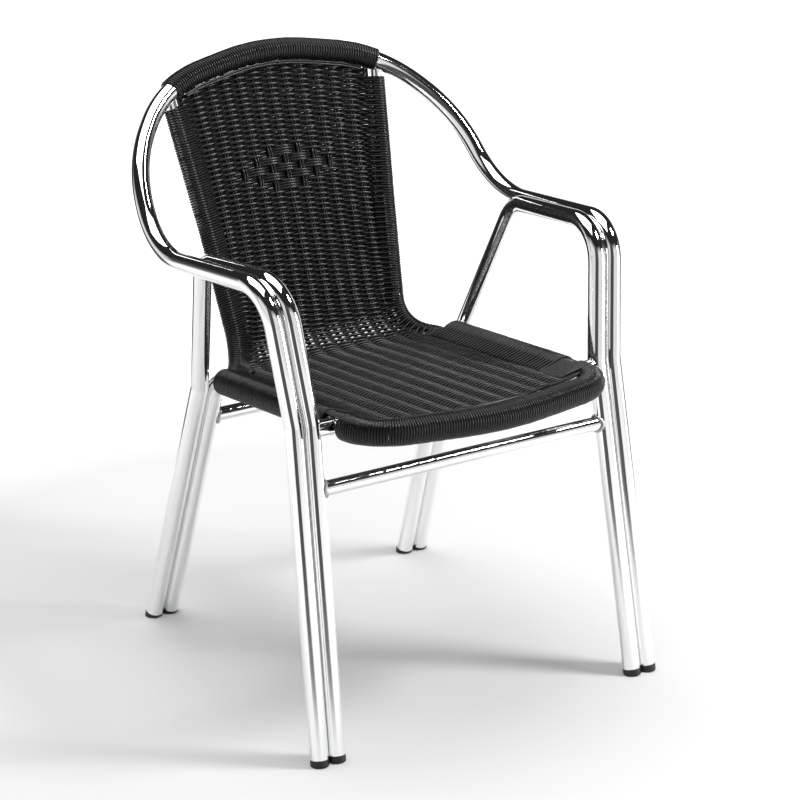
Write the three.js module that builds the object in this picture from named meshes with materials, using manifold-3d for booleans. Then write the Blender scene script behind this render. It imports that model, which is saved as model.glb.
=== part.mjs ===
import * as THREE from 'three';
import { mergeVertices } from 'three/addons/utils/BufferGeometryUtils.js';
import Module from 'manifold-3d';

const wasm = await Module();
wasm.setup();

// Rattan bistro chair. Millimetres, +Z up, origin on the floor under the middle of the chair.
// The chair faces -Y. Left is the sitter's left, which is +X. The left half is written
// out, and every left point is mirrored to the right by its sign.

// Round stock
const frameDiameter = 25;
const frameWall = 1.5;
const crossbarDiameter = 20;
const crossbarWall = 1.5;
const backTubeDiameter = 16;
const backTubeWall = 1.5;
const clearance = 0.3;

// Outer tube of the front leg, arm and hoop: half of its corner points, from the floor up.
// A rise share is how far a corner is up from the rear of the arm to the top corner.
const frontFoot = { x: 266, y: -276.9 };
const frontKnee = { x: 251.2, y: -191.2, z: 438.9 };
const armFront = { x: 269.8, y: -158.6, z: 618.7 };
const armRear = { x: 276, y: 119.5, z: 587.1 };
const hoopSide = { x: 259, y: 205.8, riseShare: 0.483 };
const hoopShoulder = { x: 173.5, y: 280.2, riseShare: 0.862 };
const hoopTop = { y: 302.5, z: 795.9 };
const kneeBend = 60;
const armFrontBend = 56;
const armRearBend = 124;
const hoopSideBend = 223;
const hoopShoulderBend = 185;
const hoopTopBend = 320;

// Strut and rear leg, which the inner side tube runs on into
const strutTopY = 42;
const strutKnee = { x: 214.7, y: 117.5, z: 389.1 };
const rearFoot = { x: 227.6, y: 242.9 };
const strutTopBend = 40;

// Seat frame: rear corner, front corner and the middle of the bowed front edge
const seatRearHeight = 395;
const seatCorner = { x: 184.1, y: -268.5, z: 438.7 };
const seatFront = { y: -301.5, z: 437 };
const seatRearBend = 32;
const seatCornerBend = 62;
const seatFrontBend = 350;

// Side tube of the back, from the hoop down and forward to the seat rail. It meets the hoop
// a little behind and under the hoop's centre line. Its foot corner rises above the rear
// corner of the seat, and its middle bows forward and inboard.
const backTopX = 168.4;
const backTopOffset = { y: 4.5, drop: 3 };
const backFoot = { x: 130.7, y: 153.5, rise: 6.7 };
const backMiddleShare = 0.48;
const backBow = { x: 2.1, y: 2.3 };
const backLand = { y: 106 };
const backTubeEndY = 12;
const backMiddleBend = 600;
const backFootBend = 54;
const backLandBend = 24;

// Crossbars, the spacers between the front legs and the seat frame, and weld beads
const frontBarHeight = 353.1;
const rearBarDrop = 60.4;
const spacerDiameter = 22;
const spacerWall = 3;
const spacerY = -193;
const beadReach = 4;
const beadRise = 3;

// Foot caps, with a plug up the bore of the tube
const capHeight = 9;
const capRound = 5;
const plugLength = 16;
const plugLeadIn = 1.5;

// Woven cover. A wrap's radius is from the tube's centre line. The inset is how far inboard
// of that line the flat part of the wrap has its edge, which has a radius of its own.
const topWrapRadius = 16;
const topWrapHalfWidth = 166;
const bindingDiameter = 4;
const bindingHalfWidth = 150;
const backWrapRadius = 12;
const backWrapInset = 18.5;
const backWrapEdgeRadius = 5.5;
const backWrapTopDrop = 20;
const seatWrapRadius = 18.2;
const seatWrapInset = 36;
const seatWrapEdgeRadius = 6.5;
const seatWrapRearY = 97;
const spacerMargin = 2;

// The weave: rows of strand that pass over and under pairs of upright strands, the stakes.
// It swells to a rib over each pair. The stakes' spacing is a share of the half width.
const weaveLift = 1;
const weaveHeelBend = 90;
const stakesPerSide = 5;
const seatStakeShare = 0.1436;
const footStakeShare = 0.173;
const topStakeShare = 0.1496;
const ribWidth = 9;
const ribThickness = 9;
const webThickness = 3.8;

// Facets
const tubeSides = 14;
const boreSides = 8;
const smallSides = 10;
const wrapArcSides = 6;
const bendStep = THREE.MathUtils.degToRad(12);
const mergeShare = 0.001;

const frameRadius = frameDiameter / 2;
const crossbarRadius = crossbarDiameter / 2;
const backTubeRadius = backTubeDiameter / 2;

const finishes = {
  metal: { color: 0xd9dcde, roughness: 0.16, metalness: 1 },
  weld: { color: 0xb4b7b8, roughness: 0.45, metalness: 1 },
  rattan: { color: 0x1b1b1a, roughness: 0.48, metalness: 0 },
  cap: { color: 0x0e0e0f, roughness: 0.55, metalness: 0 },
};

const chair = new THREE.Group();

function addPiece(name, geometry, finish) {
  const mesh = new THREE.Mesh(geometry, new THREE.MeshStandardMaterial(finishes[finish]));
  mesh.name = name;
  chair.add(mesh);
}

const sides = [
  { word: 'left', sign: 1 },
  { word: 'right', sign: -1 },
];

function at(point, sign = 1) {
  return new THREE.Vector3(sign * (point.x ?? 0), point.y, point.z ?? 0);
}

function mirrored(point) {
  return new THREE.Vector3(-point.x, point.y, point.z);
}

function pointAtHeight(low, high, z) {
  return low.clone().lerp(high, (z - low.z) / (high.z - low.z));
}

function pointAtDepth(near, far, y) {
  return near.clone().lerp(far, (y - near.y) / (far.y - near.y));
}

// A bent tube's centre line: straight runs joined by true arcs. The stations lie at the ends
// of each run and along each arc. With a side direction, a section keeps that side.
class BentPath extends THREE.Curve {
  constructor(stations, side = null) {
    super();
    this.stations = stations;
    this.side = side;
  }

  get steps() {
    return this.stations.length - 1;
  }

  station(u) {
    return this.stations[Math.round(u * this.steps)];
  }

  getPoint(u, target = new THREE.Vector3()) {
    return target.copy(this.station(u).point);
  }

  getPointAt(u, target) {
    return this.getPoint(u, target);
  }

  getTangentAt(u, target = new THREE.Vector3()) {
    return target.copy(this.station(u).tangent);
  }

  computeFrenetFrames(segments, closed = false) {
    if (!this.side) {
      return super.computeFrenetFrames(segments, closed);
    }
    const tangents = this.stations.map((station) => station.tangent.clone());
    const normals = tangents.map((tangent) =>
      this.side.clone().addScaledVector(tangent, -this.side.dot(tangent)).normalize());
    const binormals = tangents.map((tangent, i) => new THREE.Vector3().crossVectors(tangent, normals[i]));
    return { tangents, normals, binormals };
  }

  withSide(side) {
    return new BentPath(this.stations, side);
  }

  // The part of the path between two places, each where a measure first reaches a value
  between(measure, from, to) {
    const inside = [];
    for (let i = 0; i < this.steps; i += 1) {
      const a = this.stations[i];
      const b = this.stations[i + 1];
      const low = measure(a.point);
      const high = measure(b.point);
      if (low >= from && low <= to) {
        inside.push(a);
      }
      const crossings = [from, to]
        .map((value) => (value - low) / (high - low))
        .filter((share) => share > 0 && share < 1)
        .sort((one, other) => one - other);
      for (const share of crossings) {
        const point = a.point.clone().lerp(b.point, share);
        const tangent = a.tangent.clone().lerp(b.tangent, share).normalize();
        inside.push({ point, tangent });
      }
    }
    const last = this.stations[this.steps];
    if (measure(last.point) >= from && measure(last.point) <= to) {
      inside.push(last);
    }
    return new BentPath(inside, this.side);
  }
}

function bentPath(corners, bends) {
  const stations = [];
  const direction = (from, to) => to.clone().sub(from).normalize();
  const first = direction(corners[0], corners[1]);
  stations.push({ point: corners[0].clone(), tangent: first });
  for (let i = 1; i < corners.length - 1; i += 1) {
    const before = direction(corners[i - 1], corners[i]);
    const after = direction(corners[i], corners[i + 1]);
    const turn = before.angleTo(after);
    const run = bends[i - 1] * Math.tan(turn / 2);
    const start = corners[i].clone().addScaledVector(before, -run);
    const inward = after.clone().addScaledVector(before, -after.dot(before)).normalize();
    const centre = start.clone().addScaledVector(inward, bends[i - 1]);
    const steps = Math.max(2, Math.ceil(turn / bendStep));
    for (let k = 0; k <= steps; k += 1) {
      const angle = (turn * k) / steps;
      const point = centre.clone()
        .addScaledVector(inward, -bends[i - 1] * Math.cos(angle))
        .addScaledVector(before, bends[i - 1] * Math.sin(angle));
      const tangent = before.clone().multiplyScalar(Math.cos(angle)).addScaledVector(inward, Math.sin(angle));
      stations.push({ point, tangent });
    }
  }
  const end = corners.length - 1;
  stations.push({ point: corners[end].clone(), tangent: direction(corners[end - 1], corners[end]) });
  return new BentPath(stations);
}

function straightPath(from, to) {
  return bentPath([from, to], []);
}

function ringPoints(radius, count) {
  const points = [];
  for (let i = 0; i < count; i += 1) {
    const angle = ((i + 0.5) / count) * Math.PI * 2;
    points.push(new THREE.Vector2(radius * Math.cos(angle), radius * Math.sin(angle)));
  }
  return points;
}

function roundSection(radius, count, boreRadius = 0, boreCount = boreSides) {
  const section = new THREE.Shape(ringPoints(radius, count));
  if (boreRadius > 0) {
    section.holes.push(new THREE.Path(ringPoints(boreRadius, boreCount)));
  }
  return section;
}

// Outline of a wrap: a large circle on the tube, a small one inboard, and their tangents
function wrapSection(radius, inset, edgeRadius) {
  const lean = Math.asin((radius - edgeRadius) / inset);
  const section = new THREE.Shape();
  section.absarc(0, 0, radius, Math.PI / 2 - lean, Math.PI * 1.5 + lean, false);
  section.absarc(inset, 0, edgeRadius, -Math.PI / 2 + lean, Math.PI / 2 - lean, false);
  section.closePath();
  return section;
}

function sweep(section, path) {
  return new THREE.ExtrudeGeometry(section, {
    steps: path.steps,
    curveSegments: wrapArcSides,
    extrudePath: path,
  });
}

function tube(path, radius, wall, count = tubeSides) {
  return sweep(roundSection(radius, count, radius - wall), path);
}

function rod(path, radius, count = tubeSides) {
  return sweep(roundSection(radius, count), path);
}

function toSolid(geometry) {
  const bare = geometry.index ? geometry.toNonIndexed() : geometry.clone();
  bare.deleteAttribute('normal');
  bare.deleteAttribute('uv');
  const merged = mergeVertices(bare, clearance * mergeShare);
  return new wasm.Manifold(new wasm.Mesh({
    numProp: 3,
    vertProperties: new Float32Array(merged.attributes.position.array),
    triVerts: new Uint32Array(merged.index.array),
  }));
}

function cut(geometry, cutters) {
  let solid = toSolid(geometry);
  for (const cutter of cutters) {
    solid = solid.subtract(toSolid(cutter));
  }
  const mesh = solid.getMesh();
  const result = new THREE.BufferGeometry();
  result.setAttribute('position', new THREE.BufferAttribute(new Float32Array(mesh.vertProperties), 3));
  result.setIndex(new THREE.BufferAttribute(new Uint32Array(mesh.triVerts), 1));
  result.computeVertexNormals();
  return result;
}

// Paired tubes lie side by side in X. Where they lean sideways their centres are wider apart
// in X, so the steepest lean sets the spacing.
function sideLean(from, to) {
  return Math.atan(Math.abs(to.x - from.x) / Math.hypot(to.y - from.y, (to.z ?? 0) - (from.z ?? 0)));
}

const steepest = Math.max(
  sideLean(frontFoot, frontKnee),
  sideLean(frontKnee, armFront),
  sideLean(armFront, armRear),
  sideLean(rearFoot, strutKnee),
);
const pairSpacing = (frameDiameter + clearance) / Math.cos(steepest);

function inboard(point) {
  return new THREE.Vector3(point.x - pairSpacing, point.y, point.z);
}

function raisedFoot(foot, above) {
  return foot.clone().addScaledVector(above.clone().sub(foot).normalize(), capHeight);
}

// Corner points of the left half
const foot = at(frontFoot);
const knee = at(frontKnee);
const risen = ({ x, y, riseShare }) => at({ x, y, z: THREE.MathUtils.lerp(armRear.z, hoopTop.z, riseShare) });
const armStart = at(armFront);
const armEnd = at(armRear);
const innerFoot = inboard(foot);
const innerKnee = inboard(knee);
const innerArmStart = inboard(armStart);
const strutTop = inboard(pointAtDepth(armStart, armEnd, strutTopY));
const strutBottom = at(strutKnee);
const strutFoot = at(rearFoot);
const seatFoot = inboard(strutFoot);
const seatLegTop = inboard(strutBottom);
const seatRear = pointAtHeight(seatFoot, seatLegTop, seatRearHeight);
const seatFrontCorner = at(seatCorner);

function railPoint(y) {
  return pointAtDepth(seatRear, seatFrontCorner, y);
}

const backLandOffset = frameRadius + backTubeRadius + clearance;

function besideRail(y) {
  const point = railPoint(y);
  return point.setX(point.x - backLandOffset);
}

// Centre lines
const hoopHalf = [
  raisedFoot(foot, knee), knee, armStart, armEnd, risen(hoopSide), risen(hoopShoulder),
];
const hoopHalfBends = [kneeBend, armFrontBend, armRearBend, hoopSideBend, hoopShoulderBend];
const hoopPath = bentPath(
  [...hoopHalf, at(hoopTop), ...hoopHalf.map(mirrored).reverse()],
  [...hoopHalfBends, hoopTopBend, ...hoopHalfBends.slice().reverse()],
);

const seatHalf = [raisedFoot(seatFoot, seatLegTop), seatRear, seatFrontCorner];
const seatHalfBends = [seatRearBend, seatCornerBend];
const seatPath = bentPath(
  [...seatHalf, at(seatFront), ...seatHalf.map(mirrored).reverse()],
  [...seatHalfBends, seatFrontBend, ...seatHalfBends.slice().reverse()],
);

function mirrorPoint(point, sign) {
  return sign > 0 ? point : mirrored(point);
}

function sidePath(sign) {
  const corners = [
    raisedFoot(innerFoot, innerKnee), innerKnee, innerArmStart, strutTop, strutBottom,
    raisedFoot(strutFoot, strutBottom),
  ].map((point) => mirrorPoint(point, sign));
  return bentPath(corners, [kneeBend, armFrontBend, strutTopBend, kneeBend]);
}

// The place on a centre line, which runs from left to right, at a distance from the middle
function pointAtX(path, x) {
  const { stations } = path;
  const i = stations.findIndex((station, k) => k > 0 && station.point.x <= x && stations[k - 1].point.x >= x);
  const before = stations[i - 1].point;
  const after = stations[i].point;
  return before.clone().lerp(after, (before.x - x) / (before.x - after.x));
}

function hoopPointAt(x) {
  return pointAtX(hoopPath, x);
}

const backTop = hoopPointAt(backTopX).add(new THREE.Vector3(0, backTopOffset.y, -backTopOffset.drop));
const backHeel = new THREE.Vector3(backFoot.x, backFoot.y, seatRearHeight + backFoot.rise);
const backMiddle = backHeel.clone().lerp(backTop, backMiddleShare);
backMiddle.sub(new THREE.Vector3(backBow.x, backBow.y, 0));

function backPath(sign) {
  const corners = [
    backTop, backMiddle, backHeel, besideRail(backLand.y), besideRail(backTubeEndY),
  ].map((point) => mirrorPoint(point, sign));
  return bentPath(corners, [backMiddleBend, backFootBend, backLandBend]);
}

// Frame tubes
const hoopCutter = rod(hoopPath, frameRadius + clearance);
const seatCutter = rod(seatPath, frameRadius + clearance);
const sideCutters = sides.map(({ sign }) => rod(sidePath(sign), frameRadius + clearance));

addPiece('hoop_tube', tube(hoopPath, frameRadius, frameWall), 'metal');
addPiece('seat_frame_tube', tube(seatPath, frameRadius, frameWall), 'metal');

for (const { word, sign } of sides) {
  addPiece(`side_tube_${word}`, tube(sidePath(sign), frameRadius, frameWall), 'metal');
}

// The back side tubes end inside the hoop's outline, and coping trims them to it
const backTubeRod = (sign) => rod(backPath(sign), backTubeRadius + clearance, smallSides);

for (const { word, sign } of sides) {
  const blank = tube(backPath(sign), backTubeRadius, backTubeWall, smallSides);
  addPiece(`back_tube_${word}`, cut(blank, [hoopCutter]), 'metal');
}

// Crossbars run between the inner tubes of a pair of legs and are coped to them
const frontBarEnd = pointAtHeight(innerFoot, innerKnee, frontBarHeight);
const rearBarEnd = pointAtHeight(seatFoot, seatLegTop, seatRearHeight - rearBarDrop);
const bars = [
  { name: 'front_crossbar', end: frontBarEnd, cutters: sideCutters },
  { name: 'rear_crossbar', end: rearBarEnd, cutters: [seatCutter] },
];

function beadAround(axisRadius, legPoint, sign, legCutters) {
  const length = frameRadius + beadReach;
  const bead = new THREE.CylinderGeometry(
    axisRadius + clearance, axisRadius + clearance + beadRise * 2, length, tubeSides,
  );
  bead.rotateZ(sign * Math.PI / 2);
  bead.translate(legPoint.x - (sign * length) / 2, legPoint.y, legPoint.z);
  const inward = new THREE.Vector3(-sign * length * 2, 0, 0);
  const core = rod(straightPath(legPoint, legPoint.clone().add(inward)), axisRadius + clearance);
  return cut(bead, [core, ...legCutters]);
}

for (const { name, end, cutters } of bars) {
  const blank = tube(straightPath(mirrored(end), end), crossbarRadius, crossbarWall);
  addPiece(name, cut(blank, cutters), 'metal');
  for (const { word, sign } of sides) {
    const bead = beadAround(crossbarRadius, mirrorPoint(end, sign), sign, cutters);
    addPiece(`${name}_weld_${word}`, bead, 'weld');
  }
}

// Spacers between the front legs and the seat frame
const spacerLeg = pointAtHeight(innerFoot, innerKnee, railPoint(spacerY).z);
const spacerSeat = new THREE.Vector3(railPoint(spacerY).x, spacerLeg.y, spacerLeg.z);

for (const { word, sign } of sides) {
  const path = straightPath(mirrorPoint(spacerSeat, sign), mirrorPoint(spacerLeg, sign));
  const blank = tube(path, spacerDiameter / 2, spacerWall);
  addPiece(`seat_spacer_${word}`, cut(blank, [seatCutter, ...sideCutters]), 'metal');
}

// Foot caps: a round cap on the end of each leg, flat on the floor, and its plug
const boreFlat = (frameRadius - frameWall) * Math.cos(Math.PI / boreSides);
const plugRadius = boreFlat - clearance;
const sole = new THREE.BoxGeometry(frameDiameter * 2, frameDiameter * 2, frameDiameter);
sole.translate(0, 0, -frameDiameter / 2);

function footCap(footPoint, above) {
  const axis = above.clone().sub(footPoint).normalize();
  const deepest = -frameRadius * Math.tan(axis.angleTo(new THREE.Vector3(0, 0, 1)));
  const seam = capHeight - clearance;
  const profile = [
    new THREE.Vector2(0, deepest),
    new THREE.Vector2(frameRadius - capRound, deepest),
    new THREE.Vector2(frameRadius, deepest + capRound),
    new THREE.Vector2(frameRadius, seam),
    new THREE.Vector2(plugRadius, seam),
    new THREE.Vector2(plugRadius, capHeight + plugLength - plugLeadIn),
    new THREE.Vector2(plugRadius - plugLeadIn, capHeight + plugLength),
    new THREE.Vector2(0, capHeight + plugLength),
  ];
  const body = new THREE.LatheGeometry(profile, tubeSides);
  body.applyQuaternion(new THREE.Quaternion().setFromUnitVectors(new THREE.Vector3(0, 1, 0), axis));
  body.translate(footPoint.x, footPoint.y, footPoint.z);
  return cut(body, [sole.clone().translate(footPoint.x, footPoint.y, 0)]);
}

const legs = [
  { name: 'front_outer', foot, above: knee },
  { name: 'front_inner', foot: innerFoot, above: innerKnee },
  { name: 'rear_outer', foot: strutFoot, above: strutBottom },
  { name: 'rear_inner', foot: seatFoot, above: seatLegTop },
];

for (const { word, sign } of sides) {
  for (const leg of legs) {
    const cap = footCap(mirrorPoint(leg.foot, sign), mirrorPoint(leg.above, sign));
    addPiece(`foot_cap_${leg.name}_${word}`, cap, 'cap');
  }
}

// Wrapped bands. Each band's outline is made once as the piece and once, a clearance larger,
// as the cutter that keeps the weave clear of it.
const acrossTop = (point) => point.x;
const topPath = hoopPath.between(acrossTop, -topWrapHalfWidth, topWrapHalfWidth);
const topCutters = [hoopCutter, ...sides.map(({ sign }) => backTubeRod(sign))];
addPiece('top_wrap', cut(rod(topPath, topWrapRadius), topCutters), 'rattan');

const backDown = backMiddle.clone().sub(backTop).setX(0).normalize();
const bindingDrop = topWrapRadius + clearance + bindingDiameter / 2;
const bindingPath = new BentPath(
  hoopPath.between(acrossTop, -bindingHalfWidth, bindingHalfWidth).stations.map(({ point, tangent }) => {
    const away = backDown.clone().addScaledVector(tangent, -backDown.dot(tangent)).normalize();
    return { point: point.clone().addScaledVector(away, bindingDrop), tangent };
  }),
);
addPiece('top_binding_strand', rod(bindingPath, bindingDiameter / 2, boreSides), 'rattan');

const railDirection = seatFrontCorner.clone().sub(seatRear).normalize();
const spacerReach = spacerDiameter / 2 + spacerMargin + seatWrapRadius * Math.abs(railDirection.z);
const seatWrapFrontY = spacerY + spacerReach;
const frontWrapRearY = spacerY - spacerReach;

function backWrapPath(sign, extra = 0, topHeight = backTop.z - backWrapTopDrop) {
  const end = besideRail(seatWrapRearY);
  const slip = end.clone().sub(railPoint(seatWrapRearY)).dot(railDirection);
  end.addScaledVector(railDirection, extra - slip - clearance);
  const corners = [
    pointAtHeight(backMiddle, backTop, topHeight), backMiddle, backHeel,
    besideRail(backLand.y), end,
  ].map((point) => mirrorPoint(point, sign));
  const path = bentPath(corners, [backMiddleBend, backFootBend, backLandBend]);
  return path.withSide(new THREE.Vector3(-sign, 0, 0));
}

function seatWrapPath(sign, extra = 0) {
  const rear = railPoint(seatWrapRearY).addScaledVector(railDirection, -extra);
  const front = railPoint(seatWrapFrontY).addScaledVector(railDirection, extra);
  const path = straightPath(mirrorPoint(rear, sign), mirrorPoint(front, sign));
  return path.withSide(new THREE.Vector3(-sign, 0, 0));
}

function backWrapOutline(sign) {
  return sweep(wrapSection(backWrapRadius, backWrapInset, backWrapEdgeRadius), backWrapPath(sign));
}

// The cutter runs on up to the hoop, because no weave is left beside the bare end of the tube
function backWrapCutter(sign) {
  const section = wrapSection(backWrapRadius + clearance, backWrapInset, backWrapEdgeRadius + clearance);
  return sweep(section, backWrapPath(sign, clearance * 2, backTop.z + frameRadius));
}

function seatWrapOutline(sign, extra = 0) {
  const section = wrapSection(seatWrapRadius + extra, seatWrapInset, seatWrapEdgeRadius + extra);
  return sweep(section, seatWrapPath(sign, extra));
}

for (const { word, sign } of sides) {
  const backCutters = [backTubeRod(sign), hoopCutter, seatCutter];
  addPiece(`back_edge_wrap_${word}`, cut(backWrapOutline(sign), backCutters), 'rattan');
  addPiece(`seat_edge_wrap_${word}`, cut(seatWrapOutline(sign), [seatCutter, backTubeRod(sign)]), 'rattan');
}

const frontWrapPath = seatPath.between((point) => -point.y, -frontWrapRearY, Infinity);
const frontWrapSection = roundSection(seatWrapRadius, tubeSides, frameRadius + clearance, tubeSides);
addPiece('front_edge_wrap', sweep(frontWrapSection, frontWrapPath), 'rattan');

// The weave: rows of points across the chair, from the front of the seat to the hoop, with
// the thickness at each column. The rows before and after a panel give its end faces the
// slope of the panel that meets it.
function slab(rows, thicknesses, before = rows[0], after = rows[rows.length - 1]) {
  const last = rows[0].length - 1;
  const grid = rows.map((row, r) => row.map((point, c) => {
    const along = (rows[r + 1] ?? after)[c].clone().sub((rows[r - 1] ?? before)[c]);
    const across = row[Math.min(c + 1, last)].clone().sub(row[Math.max(c - 1, 0)]);
    return { point, normal: across.cross(along).normalize() };
  }));
  const corner = (r, c, face) => {
    const { point, normal } = grid[r][c];
    return point.clone().addScaledVector(normal, (face * thicknesses[c]) / 2);
  };
  const positions = [];
  const quad = (a, b, c, d) => {
    for (const point of [a, b, c, a, c, d]) {
      positions.push(point.x, point.y, point.z);
    }
  };
  const bottom = rows.length - 1;
  for (let r = 0; r < bottom; r += 1) {
    for (let c = 0; c < last; c += 1) {
      quad(corner(r, c, 1), corner(r, c + 1, 1), corner(r + 1, c + 1, 1), corner(r + 1, c, 1));
      quad(corner(r, c, -1), corner(r + 1, c, -1), corner(r + 1, c + 1, -1), corner(r, c + 1, -1));
    }
    quad(corner(r, 0, -1), corner(r, 0, 1), corner(r + 1, 0, 1), corner(r + 1, 0, -1));
    quad(corner(r, last, 1), corner(r, last, -1), corner(r + 1, last, -1), corner(r + 1, last, 1));
  }
  for (let c = 0; c < last; c += 1) {
    quad(corner(0, c, -1), corner(0, c + 1, -1), corner(0, c + 1, 1), corner(0, c, 1));
    quad(corner(bottom, c, 1), corner(bottom, c + 1, 1), corner(bottom, c + 1, -1), corner(bottom, c, -1));
  }
  const geometry = new THREE.BufferGeometry();
  geometry.setAttribute('position', new THREE.Float32BufferAttribute(positions, 3));
  return geometry;
}

// Half the chair's width at a place on the bend or the back, to the side tube's centre line
function halfWidthAt(place) {
  const flat = (point) => new THREE.Vector3(0, point.y, point.z);
  const { stations } = backPath(1);
  let best = { gap: Infinity, x: 0 };
  for (let i = 0; i < stations.length - 1; i += 1) {
    const line = new THREE.Line3(flat(stations[i].point), flat(stations[i + 1].point));
    const share = line.closestPointToPointParameter(place, true);
    const gap = line.at(share, new THREE.Vector3()).distanceTo(place);
    if (gap < best.gap) {
      best = { gap, x: THREE.MathUtils.lerp(stations[i].point.x, stations[i + 1].point.x, share) };
    }
  }
  return best.x;
}

function seatLevel(y) {
  return new THREE.Vector3(0, y, railPoint(y).z + weaveLift);
}

// Columns of a row: two over each pair of stakes, one in the web between two pairs, one
// halfway from the last pair to the edge, and the edge itself
function columnPlaces(spacing, halfWidth) {
  const places = [];
  for (let stake = -stakesPerSide; stake <= stakesPerSide; stake += 1) {
    const middle = stake * spacing;
    places.push(middle - ribWidth / 2, middle + ribWidth / 2);
    if (stake < stakesPerSide) {
      places.push(middle + spacing / 2);
    }
  }
  const margin = (halfWidth + places[0]) / 2;
  return [-halfWidth, -halfWidth + margin, ...places, halfWidth - margin, halfWidth];
}

const columnKinds = ['web', 'web'];
for (let stake = -stakesPerSide; stake <= stakesPerSide; stake += 1) {
  columnKinds.push('rib', 'rib', 'web');
}
columnKinds.push('web');
const columnThicknesses = columnKinds.map((kind) => (kind === 'rib' ? ribThickness : webThickness));

function weaveRow(place, halfWidth, spacing, riseShare) {
  return columnPlaces(spacing, halfWidth).map((x) => {
    const across = Math.min(Math.abs(x) / halfWidth, 1) * backTop.x;
    const rise = hoopPointAt(across).sub(hoopPointAt(backTop.x)).setX(0).multiplyScalar(riseShare);
    return new THREE.Vector3(x, place.y, place.z).add(rise);
  });
}

// The first row follows the middle of the seat frame's front. The row between the two
// weaves is the middle of the bend at the foot of the back.
const heelStart = seatLevel(seatWrapRearY - frameDiameter * 2);
const backCorners = [backHeel, backMiddle, backTop].map((point) => point.clone().setX(0));
const heelProfile = bentPath(
  [heelStart, seatLevel(backLand.y), ...backCorners],
  [weaveHeelBend, backFootBend, backMiddleBend],
);
const seatSpacing = railPoint(seatWrapRearY).x * seatStakeShare;
const footSpacing = backHeel.x * footStakeShare;
const topSpacing = backTop.x * topStakeShare;
const frontWidth = frontWrapPath.stations[0].point.x;
const frontRow = columnPlaces(seatSpacing, frontWidth).map((x) => {
  const { y } = pointAtX(frontWrapPath, x);
  return seatLevel(y).setX(x);
});

const { stations } = heelProfile;
const bendEnd = stations.findIndex((station) => station.point.z > backHeel.z + backFootBend) - 1;
const riseStart = stations[bendEnd].point.z;
const weaveRows = [
  frontRow,
  weaveRow(stations[0].point, railPoint(seatWrapRearY).x, seatSpacing, 0),
  ...stations.slice(1).map(({ point }, i) => {
    const bent = Math.min((i + 1) / bendEnd, 1);
    const riseShare = Math.max(0, (point.z - riseStart) / (backTop.z - riseStart));
    const spread = (topSpacing - footSpacing) * riseShare ** 3;
    const spacing = THREE.MathUtils.lerp(seatSpacing, footSpacing, bent) + spread;
    return weaveRow(point, halfWidthAt(point), spacing, riseShare);
  }),
];
const splitIndex = stations.findIndex((station) => station.tangent.z > station.tangent.y);
const seatRows = weaveRows.slice(0, splitIndex + 2);
const backStart = seatRows[seatRows.length - 1].map((point) =>
  point.clone().addScaledVector(stations[splitIndex].tangent, clearance));
const backRows = [backStart, ...weaveRows.slice(splitIndex + 2)];

const frontCutter = rod(frontWrapPath, seatWrapRadius + clearance);
const bindingReach = bindingDrop + bindingDiameter / 2 + clearance;
const bindingCutter = rod(topPath, bindingReach / Math.cos(Math.PI / tubeSides));
const seatWrapCutters = sides.map(({ sign }) => seatWrapOutline(sign, clearance));
const backWrapCutters = sides.map(({ sign }) => backWrapCutter(sign));

const seatSlab = slab(seatRows, columnThicknesses, seatRows[0], backRows[1]);
const backSlab = slab(backRows, columnThicknesses, seatRows[seatRows.length - 2]);
const seatCutters = [seatCutter, frontCutter, ...seatWrapCutters, ...backWrapCutters];

addPiece('seat_weave', cut(seatSlab, seatCutters), 'rattan');
addPiece('back_weave', cut(backSlab, [bindingCutter, ...backWrapCutters]), 'rattan');

export default chair;
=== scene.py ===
from math import acos, atan, ceil, cos, inf, pi, radians, sin, sqrt, tan

import bpy
import numpy as np
from mathutils import Matrix, Vector


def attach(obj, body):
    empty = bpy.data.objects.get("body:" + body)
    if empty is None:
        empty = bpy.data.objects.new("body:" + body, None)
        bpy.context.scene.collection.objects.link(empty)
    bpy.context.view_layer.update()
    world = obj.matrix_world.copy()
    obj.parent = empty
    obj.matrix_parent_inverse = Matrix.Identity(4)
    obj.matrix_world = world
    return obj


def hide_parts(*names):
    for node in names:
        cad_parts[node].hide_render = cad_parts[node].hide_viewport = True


# Rattan bistro chair, in metres, in the CAD frame: +Z up, facing -Y, +X the sitter's left.
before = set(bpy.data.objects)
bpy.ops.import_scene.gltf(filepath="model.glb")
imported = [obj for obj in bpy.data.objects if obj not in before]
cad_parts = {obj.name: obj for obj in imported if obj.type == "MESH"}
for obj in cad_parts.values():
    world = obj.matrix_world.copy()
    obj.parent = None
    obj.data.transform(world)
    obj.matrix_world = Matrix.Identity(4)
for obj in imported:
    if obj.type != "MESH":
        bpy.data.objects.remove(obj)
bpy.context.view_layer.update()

# Frame tubes, as in the CAD source
FRAME_RADIUS = 0.0125
CROSSBAR_RADIUS = 0.010
BACK_TUBE_RADIUS = 0.008
SPACER_RADIUS = 0.011
CLEARANCE = 0.0003

FRONT_FOOT = (0.266, -0.2769, 0.0)
FRONT_KNEE = (0.2512, -0.1912, 0.4389)
ARM_FRONT = (0.2698, -0.1586, 0.6187)
ARM_REAR = (0.276, 0.1195, 0.5871)
HOOP_SIDE = (0.259, 0.2058)
HOOP_SHOULDER = (0.1735, 0.2802)
HOOP_TOP = (0.0, 0.3025, 0.7959)
HOOP_RISE_SHARES = (0.483, 0.862)
HOOP_BENDS = (0.060, 0.056, 0.124, 0.223, 0.185, 0.320)
HOOP_LOOKUP_SHARE = 1.3

STRUT_TOP_Y = 0.042
STRUT_KNEE = (0.2147, 0.1175, 0.3891)
REAR_FOOT = (0.2276, 0.2429, 0.0)
SIDE_BENDS = (0.060, 0.056, 0.040, 0.060)

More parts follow.
